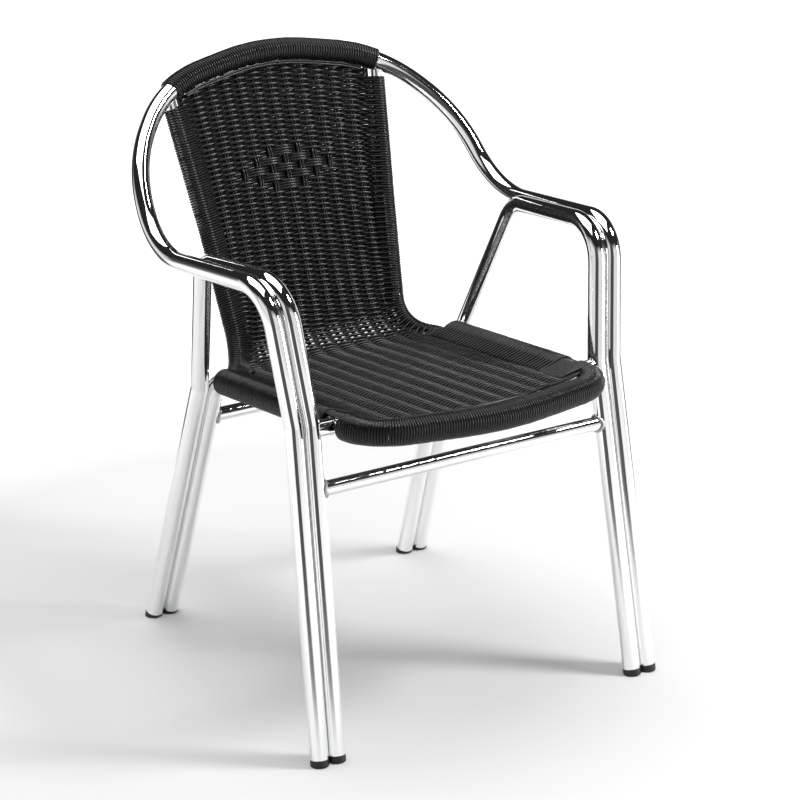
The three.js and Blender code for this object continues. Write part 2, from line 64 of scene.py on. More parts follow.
SEAT_REAR_HEIGHT = 0.395
SEAT_CORNER = (0.1841, -0.2685, 0.4387)
SEAT_FRONT = (0.0, -0.3015, 0.437)
SEAT_BENDS = (0.032, 0.062, 0.350)

BACK_TOP_X = 0.1684
BACK_TOP_OFFSET = (0.0, 0.0045, -0.003)
BACK_HEEL = (0.1307, 0.1535, 0.4017)
BACK_MIDDLE_SHARE = 0.48
BACK_BOW = (-0.0021, -0.0023, 0.0)
BACK_LAND_Y = 0.106
BACK_TUBE_END_Y = 0.012
BACK_BENDS = (0.600, 0.054, 0.024)

FRONT_BAR_HEIGHT = 0.3531
REAR_BAR_HEIGHT = 0.3346
SPACER_Y = -0.193

# Foot caps and weld beads
CAP_HEIGHT = 0.009
CAP_ROUND = 0.0035
CAP_ROUND_STEPS = 6
CAP_BEVEL = 0.0006
CAP_MIDDLE_RADIUS = 0.00005
CAP_TEXTURE_LENGTH = 0.03
WELD_RADIUS = 0.0026
WELD_SPREAD_SHARE = 1.4
WELD_RIPPLES = 24
WELD_RIPPLE_SHARE = 0.10
WELD_STEPS = 96
WELD_SIDES = 14
WELD_TEXTURE_LENGTH = 0.06

# Strands of the weave
STRAND_RADIUS = 0.0016
BACK_STRAND_RADIUS = 0.0022
CROSSINGS = (0.0039, 0.0024, 0.0028)
FULL_REACH = 0.025
SEAT_STAKE_RADIUS = 0.0015
BACK_STAKE_RADIUS = 0.0019
STAKE_GAP = 0.0001
STITCH_LIFT = 0.0013
STAKES_EACH_SIDE = 5
SPARE_STAKES = 2
STRAND_WANDER = 0.00012
SEAT_STAKE_SHARE = 0.1436
FOOT_STAKE_SHARE = 0.173
TOP_STAKE_SHARE = 0.1496
TOP_STAKE_POWER = 3
STAKE_EASE = 0.050
STAKE_EASE_SHARE = 0.1
STAKE_FRONT_TUCK = 0.004
STAKE_STEPS = 480
EDGE_STAKE_INSET = 0.015
EDGE_STAKE_TUCK = 0.010
EDGE_STAKE_STEPS = 30
COLUMNS_PER_GAP = 8
CROSSING_EASE_SHARES = (0.13, 0.87)
ROW_TUCK = 0.006
ROW_SAG = 0.0055
ROW_SAG_POWER = 2.2
ROW_SAG_HEIGHTS = (0.455, 0.520)
ROW_LEVEL_ROUNDS = 16
ROW_LEVEL_STEP_SHARE = 0.8
FEWEST_COLUMNS = 5
PANEL_SPLIT_SHARE = 0.5
FRONT_TUCK = 0.012
TOP_ROWS_DROP = 0.0190
WEAVE_LIFT = 0.001
WEAVE_HEEL_BEND = 0.090
RISE_SETBACK = 0.012
SEAT_PITCH = 0.0035
BACK_ROW_PITCH = 0.00343
SEED = 7

# The diamond: five bands of three rows, in which the rows pass over and under in threes
MOTIF_HEIGHT = 0.637
MOTIF_BAND_ROWS = 3
MOTIF_STITCHES = ((-1, 1), (-2, 0, 2), (-3, -1, 1, 3), (-2, 0, 2), (-1, 1))

# Wraps and binding strands
STRAND_FIT_SHARE = 1.02
TOP_WRAP_RADIUS = 0.016
TOP_WRAP_HALF_WIDTH = 0.166
TOP_WRAP_PITCH = 0.0039
TOP_BINDING_GAPS = (0.0014, 0.0044)
TOP_BINDING_FORWARD = 0.0030
FRONT_WRAP_RADIUS = 0.0182
FRONT_WRAP_PITCH = 0.0037
FRONT_BINDING_HALF_WIDTH = 0.140
FRONT_BINDING_BEHIND = (0.028, 0.034)
FRONT_BINDING_EASE = (0.060, 0.110)
FRONT_BINDING_STEPS = 90
FRONT_BINDING_STRANDS = 2
CORNER_BAND_FRONT = -0.2345
CORNER_BAND_PITCH = 0.0040
OUTER_SHARE = 0.8
NOTCH_RADIUS = 0.0144
NOTCH_REACH = 0.040
NOTCH_EDGE = 0.0035
NOTCH_END_ANGLE = radians(122)
NOTCH_DEPTHS = (-0.1735, -0.2370)
NOTCH_STRANDS = 19
NOTCH_RUN_STEPS = 6
NOTCH_BEND_STEPS = 10
NOTCH_CORNER_SHORTER = 4
BACK_WRAP_RADIUS = 0.012
BACK_WRAP_INSET = 0.0185
BACK_WRAP_EDGE = 0.0055
BACK_WRAP_TOP_DROP = 0.020
SEAT_WRAP_RADIUS = 0.0182
SEAT_WRAP_INSET = 0.036
SEAT_WRAP_EDGE = 0.0065
SEAT_WRAP_REAR_Y = 0.097
SINK_SHORTER = 0.003
SINK_SHARE = 0.45
SINK_EASE_SHARES = (0.3, 0.8)
SPACER_GAP = 0.013
BINDING_RADIUS = 0.0016
BINDING_HALF_WIDTH = 0.150
BACK_BAND_PITCH = 0.0036

# Fineness of the meshes and of the look-ups along the centre lines
ARC_STEP = radians(3)
TUBE_SIDES = 40
STRAND_SIDES = 8
BINDING_SIDES = 10
CIRCLE_STEPS = 24
BAND_STEPS = 44
BAND_TUBE_STEPS = 40
BAND_EDGE_STEPS = 14
LOOKUP_STEPS = 2000
STRETCH_STEPS = 4000
STATION_STEPS = 600
SADDLE_ROUNDS = 12
SADDLE_STEP_SHARE = 0.9
SAME_PLACE = 1e-7
JUST_UNDER = 1e-6
OFF_ANY_TUBE = (0.31, 0.95, 0.05)
SHARP_ANGLE = radians(50)
CAP_SHARP_ANGLE = radians(40)

# Materials: noise is read over its middle range, and each bump is a strength and a depth
NOISE_RANGE = (0.3, 0.7)
METAL_COLOUR = (0.90, 0.905, 0.91, 1)
SATIN_HEIGHTS = (0.20, 0.33)
SATIN_ROUGHNESS = (0.20, 0.05)
SCRATCH_STRETCH = (90.0, 25.0, 1.0)
SCRATCH_NOISE = (1.0, 4.0)
SCRATCH_SHARES = (0.8, 1.25)
SCRATCH_BUMP = (0.03, 0.0005)
WELD_NOISE = (900.0, 5.0)
WELD_TONES = (0.28, 0.5)
WELD_ROUGHNESS = 0.42
WELD_BUMP = (0.4, 0.0004)
RATTAN_COLOURS = ((0.0015, 0.0015, 0.0014, 1), (0.005, 0.005, 0.0047, 1))
RATTAN_PATCHES = (45.0, 2.0)
RATTAN_ROUGHNESS = (0.25, 0.35)
RATTAN_SPECULAR = 0.36
STREAK_STRETCH = (9.0, 30.0, 1.0)
STREAK_NOISE = (1.0, 3.0)
STREAK_BUMP = (0.12, 0.0002)
CAP_COLOURS = ((0.022, 0.021, 0.020, 1), (0.006, 0.006, 0.0065, 1))
CAP_SCUFF_HEIGHTS = (0.0, 0.003)
CAP_NOISE = (1800.0, 3.0)
CAP_ROUGHNESS = (0.38, 0.55)
CAP_BUMP = (0.15, 0.0002)

# Camera, at the photograph's place
CAMERA_PLACE = Vector((-2.0688, -3.2260, 1.8269))
CAMERA_TARGET = Vector((0.01535, -0.02931, 0.370))
CAMERA_ROLL = 0.0073
FOCAL_PIXELS = 2990.96
IMAGE_PIXELS = 800
SENSOR_WIDTH = 36.0

# Studio: a heading is the cosine of its angle to the camera's, and a height is a direction's Z
WHITE = (1, 1, 1, 1)
TOWARDS_CAMERA = (-0.546, -0.838, 0.0)
CAMERA_SIDE = (0.925, 0.955)
CAMERA_SIDE_DARKNESS = 0.93
OVERHEAD = (0.08, 0.28)
FRONT_HEADINGS = (0.1, 0.6)
FRONT_RISE = 0.35
PLAIN_LEVEL = 0.36
SEEN_IN_METAL = 0.78
DARK_LEVEL = 0.02

# Dark strips: middle heading, dark within, gone beyond, how dark
SIDE_STRIPS = ((-0.59, 0.15, 0.24, 0.95), (0.30, 0.02, 0.05, 0.6))

# Floor
FLOOR_REACH = 14.0
FLOOR_WHITE = 0.62
# In metal, the floor's white is painted a little brighter than it is
FLOOR_WHITE_PAINTED_IN_METAL = 0.69
FLOOR_ROUGHNESS = 0.9
# Painted glow: the floor emits light, faintly near the chair, which lifts its shadow, and fully further
# out
FLOOR_GLOW = (0.11, 1.0)
PAINTED_GLOW_RADII = (0.75, 1.80)
# Painted reflection: far out, the floor is painted dark for glossy rays only, by heading, so the metal
# shows dark bands
PAINTED_REFLECTION_DARK_RADII = (0.95, 1.20)
PAINTED_REFLECTION_DARK_COLOUR = (0.02, 0.02, 0.022, 1)

# Soft boxes: name, place, aimed at, width, length, power
SOFT_BOXES = (
    ("overhead", (-0.2, 0.45, 2.7), (0, 0, 0.3), 2.2, 2.2, 58),
    ("front_right", (1.35, -0.95, 2.3), (0, 0, 0.5), 0.50, 0.50, 42),
    ("right_tall", (2.3, -1.9, 0.9), (0, 0, 0.6), 0.30, 1.4, 38),
)

SIDES = (("left", 1), ("right", -1))
FLAT = np.array([0, 1, 1])


def vec(x, y, z):
    return np.array([x, y, z], dtype=float)


def unit(v):
    return v / np.linalg.norm(v, axis=-1, keepdims=True)


def mirrored(points):
    return np.asarray(points, dtype=float) * np.array([-1.0, 1.0, 1.0])


def sided(points, sign):
    return np.asarray(points, dtype=float) if sign > 0 else mirrored(points)


def lerp(a, b, share):
    return np.asarray(a) + (np.asarray(b) - np.asarray(a)) * share


def smooth(low, high, value):
    share = np.clip((value - low) / (high - low), 0, 1)
    return share * share * (3 - 2 * share)


def run_along(points):
    """Distances along a line of points, from the first one."""
    return np.concatenate([[0], np.cumsum(np.linalg.norm(np.diff(points, axis=0), axis=1))])


def interpolated(where, places, values):
    """Each column of values, read off between its places."""
    columns = [np.interp(where, places, values[:, k]) for k in range(values.shape[1])]
    return np.stack(columns, axis=-1)


def angles_round(steps, start=0.0):
    """Even angles round a circle, from a share of a step on."""
    return (np.arange(steps) + start) / steps * 2 * pi


def ring_of(angles, first, second):
    """Points on the unit circle between two directions, or on one such circle for each pair."""
    across = np.cos(angles)[:, None] * first[..., None, :]
    return across + np.sin(angles)[:, None] * second[..., None, :]


def arc(radius, angles):
    return radius * np.stack([np.cos(angles), np.sin(angles)], axis=1)


# Centre lines


class Path:
    """A run of points with tangents, looked up by distance along it."""

    def __init__(self, points, tangents):
        self.points = np.array(points)
        self.tangents = unit(np.array(tangents))
        self.distances = run_along(self.points)

    @property
    def length(self):
        return self.distances[-1]

    def at(self, distance):
        return interpolated(distance, self.distances, self.points)

    def tangent(self, distance):
        return unit(interpolated(distance, self.distances, self.tangents))

    def nearest(self, points):
        """Distances along the path nearest to the points, as seen from the side."""
        dense = np.linspace(0, self.length, LOOKUP_STEPS)
        gaps = np.linalg.norm((points[:, None, :] - self.at(dense)) * FLAT, axis=2)
        return dense[np.argmin(gaps, axis=1)]

    def part(self, start, end, step):
        distances = np.linspace(start, end, max(2, ceil((end - start) / step) + 1))
        return Path(self.at(distances), self.tangent(distances))


def bent_path(corners, bends):
    corners = [np.array(c, dtype=float) for c in corners]
    points = [corners[0]]
    tangents = [unit(corners[1] - corners[0])]
    for i in range(1, len(corners) - 1):
        before = unit(corners[i] - corners[i - 1])
        after = unit(corners[i + 1] - corners[i])
        turn = acos(np.clip(before @ after, -1, 1))
        radius = bends[i - 1]
        start = corners[i] - before * radius * tan(turn / 2)
        inward = unit(after - before * (after @ before))
        steps = max(2, ceil(turn / ARC_STEP))
        for k in range(steps + 1):
            angle = turn * k / steps
            points.append(start + inward * radius * (1 - cos(angle)) + before * radius * sin(angle))
            tangents.append(before * cos(angle) + inward * sin(angle))
    points.append(corners[-1])
    tangents.append(unit(corners[-1] - corners[-2]))
    return Path(points, tangents)


def at_height(low, high, z):
    return lerp(low, high, (z - low[2]) / (high[2] - low[2]))


def at_depth(near, far, y):
    return lerp(near, far, (y - near[1]) / (far[1] - near[1]))


def lean(a, b):
    return atan(abs(b[0] - a[0]) / sqrt((b[1] - a[1]) ** 2 + (b[2] - a[2]) ** 2))


steepest = max(
    lean(FRONT_FOOT, FRONT_KNEE), lean(FRONT_KNEE, ARM_FRONT),
    lean(ARM_FRONT, ARM_REAR), lean(REAR_FOOT, STRUT_KNEE),
)
PAIR_SPACING = (FRAME_RADIUS * 2 + CLEARANCE) / cos(steepest)
INBOARD = vec(-PAIR_SPACING, 0, 0)

foot = vec(*FRONT_FOOT)
knee = vec(*FRONT_KNEE)
arm_front = vec(*ARM_FRONT)
arm_rear = vec(*ARM_REAR)
hoop_top = vec(*HOOP_TOP)
hoop_heights = [ARM_REAR[2] + (HOOP_TOP[2] - ARM_REAR[2]) * share for share in HOOP_RISE_SHARES]
hoop_side = vec(*HOOP_SIDE, hoop_heights[0])
hoop_shoulder = vec(*HOOP_SHOULDER, hoop_heights[1])
inner_foot = foot + INBOARD
inner_knee = knee + INBOARD
strut_top = at_depth(arm_front, arm_rear, STRUT_TOP_Y) + INBOARD
strut_knee = vec(*STRUT_KNEE)
strut_foot = vec(*REAR_FOOT)
seat_foot = strut_foot + INBOARD
seat_leg_top = strut_knee + INBOARD
seat_rear = at_height(seat_foot, seat_leg_top, SEAT_REAR_HEIGHT)
seat_corner = vec(*SEAT_CORNER)


def raised(foot_point, above):
    return foot_point + unit(above - foot_point) * CAP_HEIGHT


def mirrored_loop(half, middle, half_bends, middle_bend):
    corners = half + [middle] + [mirrored(p) for p in reversed(half)]
    bends = list(half_bends) + [middle_bend] + list(reversed(half_bends))
    return bent_path(corners, bends)


hoop_half = [raised(foot, knee), knee, arm_front, arm_rear, hoop_side, hoop_shoulder]
hoop_path = mirrored_loop(hoop_half, hoop_top, HOOP_BENDS[:-1], HOOP_BENDS[-1])
seat_half = [raised(seat_foot, seat_leg_top), seat_rear, seat_corner]
seat_path = mirrored_loop(seat_half, vec(*SEAT_FRONT), SEAT_BENDS[:-1], SEAT_BENDS[-1])
side_corners = [
    raised(inner_foot, inner_knee), inner_knee, arm_front + INBOARD, strut_top, strut_knee,
    raised(strut_foot, strut_knee),
]


def side_path(sign):
    return bent_path([sided(p, sign) for p in side_corners], SIDE_BENDS)


def rail_point(y):
    return at_depth(seat_rear, seat_corner, y)


def hoop_point(x):
    """The hoop's centre line over the back, looked up by X."""
    top = np.abs(hoop_path.points[:, 0]) < BACK_TOP_X * HOOP_LOOKUP_SHARE
    top &= hoop_path.points[:, 2] > ARM_REAR[2]
    places = hoop_path.points[top][::-1]
    return interpolated(x, places[:, 0], places)


BESIDE_RAIL = vec(-(FRAME_RADIUS + BACK_TUBE_RADIUS + CLEARANCE), 0, 0)
back_top = hoop_point(BACK_TOP_X) + vec(*BACK_TOP_OFFSET)
back_heel = vec(*BACK_HEEL)
back_middle = lerp(back_heel, back_top, BACK_MIDDLE_SHARE) + vec(*BACK_BOW)
back_land = rail_point(BACK_LAND_Y) + BESIDE_RAIL
back_end = rail_point(BACK_TUBE_END_Y) + BESIDE_RAIL
back_corners = [back_top, back_middle, back_heel, back_land, back_end]


def back_path(sign):
    return bent_path([sided(p, sign) for p in back_corners], BACK_BENDS)


# Mesh building


class Builder:
    """Collects rings of vertices as one mesh, with U round the ring and V along it in metres."""

    def __init__(self):
        self.vertices = []
        self.faces = []
        self.uvs = []
        self.count = 0

    def grid(self, rings, lengths=None, close_rows=False):
        """Joins rings, an array (rows, ring, 3), in order: into a loop, or with a cap at each end."""
        rows, around = rings.shape[:2]
        start = self.count
        self.vertices.append(rings.reshape(-1, 3))
        self.count += rows * around
        row = np.arange(rows if close_rows else rows - 1)[:, None]
        column = np.arange(around)[None, :]
        following = (row + 1) % rows
        right = (column + 1) % around
        corners = np.broadcast_arrays(
            row * around + column, row * around + right,
            following * around + right, following * around + column,
        )
        quads = np.stack(corners, axis=-1).reshape(-1, 4)
        if lengths is None:
            lengths = run_along(rings.mean(axis=1))
        ahead = np.append(lengths[1:], lengths[-1])
        u_low = np.broadcast_to(column / around, (len(row), around))
        u_high = np.broadcast_to((column + 1) / around, (len(row), around))
        v_low = np.broadcast_to(lengths[row % rows], (len(row), around))
        v_high = np.broadcast_to(ahead[row % rows], (len(row), around))
        uv = np.stack([u_low, v_low, u_high, v_low, u_high, v_high, u_low, v_high], axis=-1)
        self.uvs.append(uv.reshape(-1, 2))
        self.faces.extend((quads + start).tolist())
        if not close_rows:
            first = list(range(start + around - 1, start - 1, -1))
            last = list(range(start + (rows - 1) * around, start + rows * around))
            self.faces.extend([first, last])
            self.uvs.append(np.tile([0.5, lengths[0]], (around, 1)))
            self.uvs.append(np.tile([0.5, lengths[-1]], (around, 1)))

    def strand(self, points, normals, radius, sides=STRAND_SIDES):
        """A round strand along points. normals point away from what it lies on."""
        tangents = unit(np.gradient(points, axis=0))
        across = unit(np.cross(tangents, normals))
        up = np.cross(across, tangents)
        radii = np.broadcast_to(radius, (len(points),))[:, None, None]
        self.grid(points[:, None] + radii * ring_of(angles_round(sides, start=0.5), across, up))

    def tube(self, path, radius):
        """A smooth tube along a path, its rings kept from twisting."""
        moved = np.linalg.norm(np.diff(path.points, axis=0), axis=1) > SAME_PLACE
        keep = np.concatenate([[True], moved])
        points, tangents = path.points[keep], path.tangents[keep]
        normal = unit(np.cross(tangents[0], vec(*OFF_ANY_TUBE)))
        angles = angles_round(TUBE_SIDES)
        rings = []
        for point, tangent in zip(points, tangents):
            normal = unit(normal - tangent * (normal @ tangent))
            rings.append(point + radius * ring_of(angles, normal, np.cross(tangent, normal)))
        self.grid(np.array(rings))

    def piece(self, name, material, slot, nodes=(), sharp=SHARP_ANGLE):
        """Makes the mesh one piece of the chair, in place of the nodes it is drawn for."""
        mesh = bpy.data.meshes.new(name)
        vertices = np.concatenate(self.vertices)
        mesh.from_pydata(vertices.tolist(), [], self.faces)
        layer = mesh.uv_layers.new(name="UVMap")
        layer.data.foreach_set("uv", np.concatenate(self.uvs).ravel())
        mesh.materials.append(material)
        mesh.shade_smooth()
        mesh.set_sharp_from_angle(angle=sharp)
        mesh.update()
        piece = bpy.data.objects.new(name, mesh)
        bpy.context.scene.collection.objects.link(piece)
        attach(piece, "root")
        if nodes:
            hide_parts(*nodes)


# Materials


class Nodes:
    """Small helper to write a material's or a world's node tree in a few lines."""

    def __init__(self, owner, shader="Principled BSDF"):
        owner.use_nodes = True
        self.owner = owner
        self.tree = owner.node_tree
        self.shader = self.tree.nodes[shader]

    def add(self, kind, inputs=None, **settings):
        node = self.tree.nodes.new(kind)
        for key, value in settings.items():
            setattr(node, key, value)
        for key, value in (inputs or {}).items():
            self.fill(node.inputs[key], value)
        return node

    def fill(self, socket, value):
        if isinstance(value, bpy.types.NodeSocket):
            self.tree.links.new(value, socket)
        else:
            socket.default_value = value

    def set(self, key, value):
        self.fill(self.shader.inputs[key], value)

    def math(self, operation, a, b):
        return self.add("ShaderNodeMath", {0: a, 1: b}, operation=operation).outputs["Value"]

    def vector_math(self, operation, *vectors):
        return self.add("ShaderNodeVectorMath", dict(enumerate(vectors)), operation=operation).outputs

    def remap(self, value, low, high, to_low=0.0, to_high=1.0):
        inputs = {"Value": value, "From Min": low, "From Max": high, "To Min": to_low, "To Max": to_high}
        return self.add("ShaderNodeMapRange", inputs, clamp=True).outputs["Result"]

    def blend(self, share, a, b):
        node = self.add("ShaderNodeMix", data_type="RGBA")
        for key, value in (("Factor", share), ("A", a), ("B", b)):
            self.fill(node.inputs[key], value)
        return node.outputs["Result"]

    def grey(self, tone):
        inputs = {"Red": tone, "Green": tone, "Blue": tone}
        return self.add("ShaderNodeCombineColor", inputs).outputs["Color"]

    def place(self, space="Object"):
        return self.add("ShaderNodeTexCoord").outputs[space]

    def split(self, vector):
        return self.add("ShaderNodeSeparateXYZ", {"Vector": vector}).outputs

    def stretched(self, vector, scale):
        return self.add("ShaderNodeMapping", {"Vector": vector, "Scale": scale}).outputs["Vector"]

    def noise(self, vector, scale, detail):
        inputs = {"Vector": vector, "Scale": scale, "Detail": detail}
        return self.add("ShaderNodeTexNoise", inputs).outputs["Fac"]

    def bump(self, height, strength, distance):
        inputs = {"Height": height, "Strength": strength, "Distance": distance}
        self.set("Normal", self.add("ShaderNodeBump", inputs).outputs["Normal"])


def new_material(name):
    return Nodes(bpy.data.materials.new(name))


def metal_material():
    """Polished above the seat and turning satin down the legs, with fine scratches."""
    n = new_material("polished_aluminium")
    satin = n.remap(n.split(n.place())["Z"], *SATIN_HEIGHTS, *SATIN_ROUGHNESS)
    scratches = n.noise(n.stretched(n.place("UV"), SCRATCH_STRETCH), *SCRATCH_NOISE)
    n.set("Metallic", 1.0)
    n.set("Base Color", METAL_COLOUR)
    n.set("Roughness", n.math("MULTIPLY", satin, n.remap(scratches, *NOISE_RANGE, *SCRATCH_SHARES)))
    n.bump(scratches, *SCRATCH_BUMP)
    return n.owner


def weld_material():
    """Dull grey metal with a fine grain."""
    n = new_material("weld_bead")
    grain = n.noise(n.place(), *WELD_NOISE)
    n.set("Metallic", 1.0)
    n.set("Base Color", n.grey(n.remap(grain, *NOISE_RANGE, *WELD_TONES)))
    n.set("Roughness", WELD_ROUGHNESS)
    n.bump(grain, *WELD_BUMP)
    return n.owner


def rattan_material():
    """Black plastic strand with a satin sheen, streaked along its length."""
    n = new_material("black_rattan_strand")
    streaks = n.noise(n.stretched(n.place("UV"), STREAK_STRETCH), *STREAK_NOISE)
    patches = n.noise(n.place(), *RATTAN_PATCHES)
    n.set("Base Color", n.blend(patches, *RATTAN_COLOURS))
    n.set("Roughness", n.remap(streaks, *NOISE_RANGE, *RATTAN_ROUGHNESS))
    n.set("Specular IOR Level", RATTAN_SPECULAR)
    n.bump(streaks, *STREAK_BUMP)
    return n.owner


def cap_material():
    """Black plastic, scuffed where it meets the floor."""
    n = new_material("black_foot_cap")
    grain = n.noise(n.place(), *CAP_NOISE)
    above = n.remap(n.split(n.place())["Z"], *CAP_SCUFF_HEIGHTS)
    n.set("Base Color", n.blend(above, *CAP_COLOURS))
    n.set("Roughness", n.remap(grain, *NOISE_RANGE, *CAP_ROUGHNESS))
    n.bump(grain, *CAP_BUMP)
    return n.owner


metal = metal_material()
weld = weld_material()
rattan = rattan_material()
cap_plastic = cap_material()

rng = np.random.default_rng(SEED)


# Metal frame


def tube_piece(name, path, radius):
    builder = Builder()
    builder.tube(path, radius)
    builder.piece(name, metal, "frame_tube", [name])


tube_piece("hoop_tube", hoop_path, FRAME_RADIUS)
tube_piece("seat_frame_tube", seat_path, FRAME_RADIUS)
for word, sign in SIDES:
    tube_piece(f"side_tube_{word}", side_path(sign), FRAME_RADIUS)
    tube_piece(f"back_tube_{word}", back_path(sign), BACK_TUBE_RADIUS)

front_bar_end = at_height(inner_foot, inner_knee, FRONT_BAR_HEIGHT)
rear_bar_end = at_height(seat_foot, seat_leg_top, REAR_BAR_HEIGHT)
BARS = (
    ("front_crossbar", front_bar_end, unit(inner_knee - inner_foot)),
    ("rear_crossbar", rear_bar_end, unit(seat_leg_top - seat_foot)),
)


def saddle(end, leg_axis):
    """Where a crossbar meets a leg: points round the bar, on the leg's surface."""
    points = []
    for angle in angles_round(WELD_STEPS):
        offset = vec(0, CROSSBAR_RADIUS * cos(angle), CROSSBAR_RADIUS * sin(angle))
        run = FRAME_RADIUS
        for _ in range(SADDLE_ROUNDS):
            place = offset - vec(run, 0, 0)
            away = np.linalg.norm(place - leg_axis * (place @ leg_axis))
            run += (FRAME_RADIUS - away) * SADDLE_STEP_SHARE
        points.append(end + offset - vec(run, 0, 0))
    return np.array(points)


def weld_bead(name, end, leg_axis, sign):
    """A rippled bead along the saddle, wider along the bar than it is high."""
    points = saddle(end, leg_axis)
    tangents = unit(np.roll(points, -1, axis=0) - np.roll(points, 1, axis=0))
    outward = unit(points - points.mean(axis=0))
    outward = unit(outward - tangents * np.sum(outward * tangents, axis=1, keepdims=True))
    along_bar = np.cross(tangents, outward)
    ripples = 1 + WELD_RIPPLE_SHARE * np.sin(angles_round(WELD_STEPS) * WELD_RIPPLES)
    ring = ring_of(angles_round(WELD_SIDES), outward, along_bar * WELD_SPREAD_SHARE)
    rings = points[:, None] + WELD_RADIUS * ripples[:, None, None] * ring
    lengths = np.linspace(0, WELD_TEXTURE_LENGTH, WELD_STEPS)
    builder = Builder()
    builder.grid(sided(rings, sign), lengths, close_rows=True)
    builder.piece(name, weld, "weld_bead", [name])


for name, end, leg_axis in BARS:
    tube_piece(name, bent_path([mirrored(end), end], []), CROSSBAR_RADIUS)
    for word, sign in SIDES:
        weld_bead(f"{name}_weld_{word}", end, leg_axis, sign)

spacer_leg = at_height(inner_foot, inner_knee, rail_point(SPACER_Y)[2])
spacer_seat = vec(rail_point(SPACER_Y)[0], *spacer_leg[1:])
for word, sign in SIDES:
    ends = [sided(spacer_seat, sign), sided(spacer_leg, sign)]
    tube_piece(f"seat_spacer_{word}", bent_path(ends, []), SPACER_RADIUS)


def foot_cap(name, foot_point, above):
    """A cap turned about the leg, its lower edge rounded, flat where it meets the floor."""
    axis = unit(above - foot_point)
    side = unit(np.cross(axis, vec(0, 1, 0)))
    other = np.cross(axis, side)
    tilt = FRAME_RADIUS * tan(acos(axis[2]))
    seam = CAP_HEIGHT - CLEARANCE
    flat = FRAME_RADIUS - CAP_ROUND
    outline = [(CAP_MIDDLE_RADIUS, -tilt), (flat, -tilt)]
    for k in range(1, CAP_ROUND_STEPS + 1):
        angle = pi / 2 * k / CAP_ROUND_STEPS
        outline.append((flat + CAP_ROUND * sin(angle), -tilt + CAP_ROUND * (1 - cos(angle))))
    outline += [(FRAME_RADIUS, 0.0), (FRAME_RADIUS, seam - CAP_BEVEL)]
    outline += [(FRAME_RADIUS - CAP_BEVEL, seam), (CAP_MIDDLE_RADIUS, seam)]
    ring = ring_of(angles_round(TUBE_SIDES), side, other)
    rings = np.array([foot_point + axis * along + radius * ring for radius, along in outline])
    rings[..., 2] = np.maximum(rings[..., 2], 0)
    builder = Builder()
    builder.grid(rings, np.linspace(0, CAP_TEXTURE_LENGTH, len(outline)))
    builder.piece(name, cap_plastic, "foot_cap", [name], sharp=CAP_SHARP_ANGLE)


LEGS = (
    ("front_outer", foot, knee),
    ("front_inner", inner_foot, inner_knee),
    ("rear_outer", strut_foot, strut_knee),
    ("rear_inner", seat_foot, seat_leg_top),
)
for word, sign in SIDES:
    for leg, low, high in LEGS:
        foot_cap(f"foot_cap_{leg}_{word}", sided(low, sign), sided(high, sign))


# The woven panel: a profile from the front of the seat round the heel to the hoop
FRONT_Y = SEAT_FRONT[1]


def seat_level(y):
    return rail_point(y) * FLAT + vec(0, 0, WEAVE_LIFT)


seat_line = [seat_level(FRONT_Y), seat_level(BACK_LAND_Y)]
back_line = [back_heel * FLAT, back_middle * FLAT, back_top * FLAT]
profile = bent_path(seat_line + back_line, [WEAVE_HEEL_BEND, BACK_BENDS[1], BACK_BENDS[0]])


def profile_distance(y, z):
    return profile.nearest(np.array([[0, y, z]]))[0]


heel_distance = profile_distance(SEAT_WRAP_REAR_Y, seat_level(SEAT_WRAP_REAR_Y)[2])
rise_distance = profile_distance(back_heel[1] + RISE_SETBACK, back_heel[2] + BACK_BENDS[1])
seat_start = profile_distance(FRONT_Y + FRONT_TUCK, seat_level(FRONT_Y)[2])
band_top_distance = profile_distance(back_top[1], back_top[2] - BACK_WRAP_TOP_DROP)

# Half the distance between the side tubes' centre lines, at places up the profile
stations = np.linspace(0, profile.length, STATION_STEPS)
station_points = profile.at(stations)
left_back_path = back_path(1)
tube_x = left_back_path.at(left_back_path.nearest(station_points))[:, 0]
rail_x = np.interp(station_points[:, 1], [seat_corner[1], seat_rear[1]], [seat_corner[0], seat_rear[0]])
station_widths = np.where(stations < heel_distance, rail_x, tube_x)


def half_width(distance):
    return np.interp(distance, stations, station_widths)


def rise_share(distance):
    return np.clip((distance - rise_distance) / (profile.length - rise_distance), 0, 1)


def surface(distance, x):
    """Points on the middle of the panel, which stands back and up with the hoop at its middle."""
    share = np.clip(np.abs(x) / half_width(distance), 0, 1)
    rise = hoop_point(share * BACK_TOP_X) - hoop_point(BACK_TOP_X)
    points = profile.at(distance) + rise * rise_share(distance)[..., None] * FLAT
    points[..., 0] = x
    return points


def panel_normal(distance, x):
    """Which way the panel faces at given places."""
    step = STRAND_RADIUS
    across = surface(distance, x + step) - surface(distance, x - step)
    along = surface(distance + step, x) - surface(distance - step, x)
    return unit(np.cross(across, along))


# Spacing of the stakes, as in the CAD source
seat_spacing = rail_point(SEAT_WRAP_REAR_Y)[0] * SEAT_STAKE_SHARE
foot_spacing = back_heel[0] * FOOT_STAKE_SHARE
top_spacing = back_top[0] * TOP_STAKE_SHARE


def stake_spacing(distance):
    places = [heel_distance - STAKE_EASE, heel_distance, rise_distance]
    bent = np.interp(distance, places, [0, STAKE_EASE_SHARE, 1])
    widening = (top_spacing - foot_spacing) * rise_share(distance) ** TOP_STAKE_POWER
    return lerp(seat_spacing, foot_spacing, bent) + widening


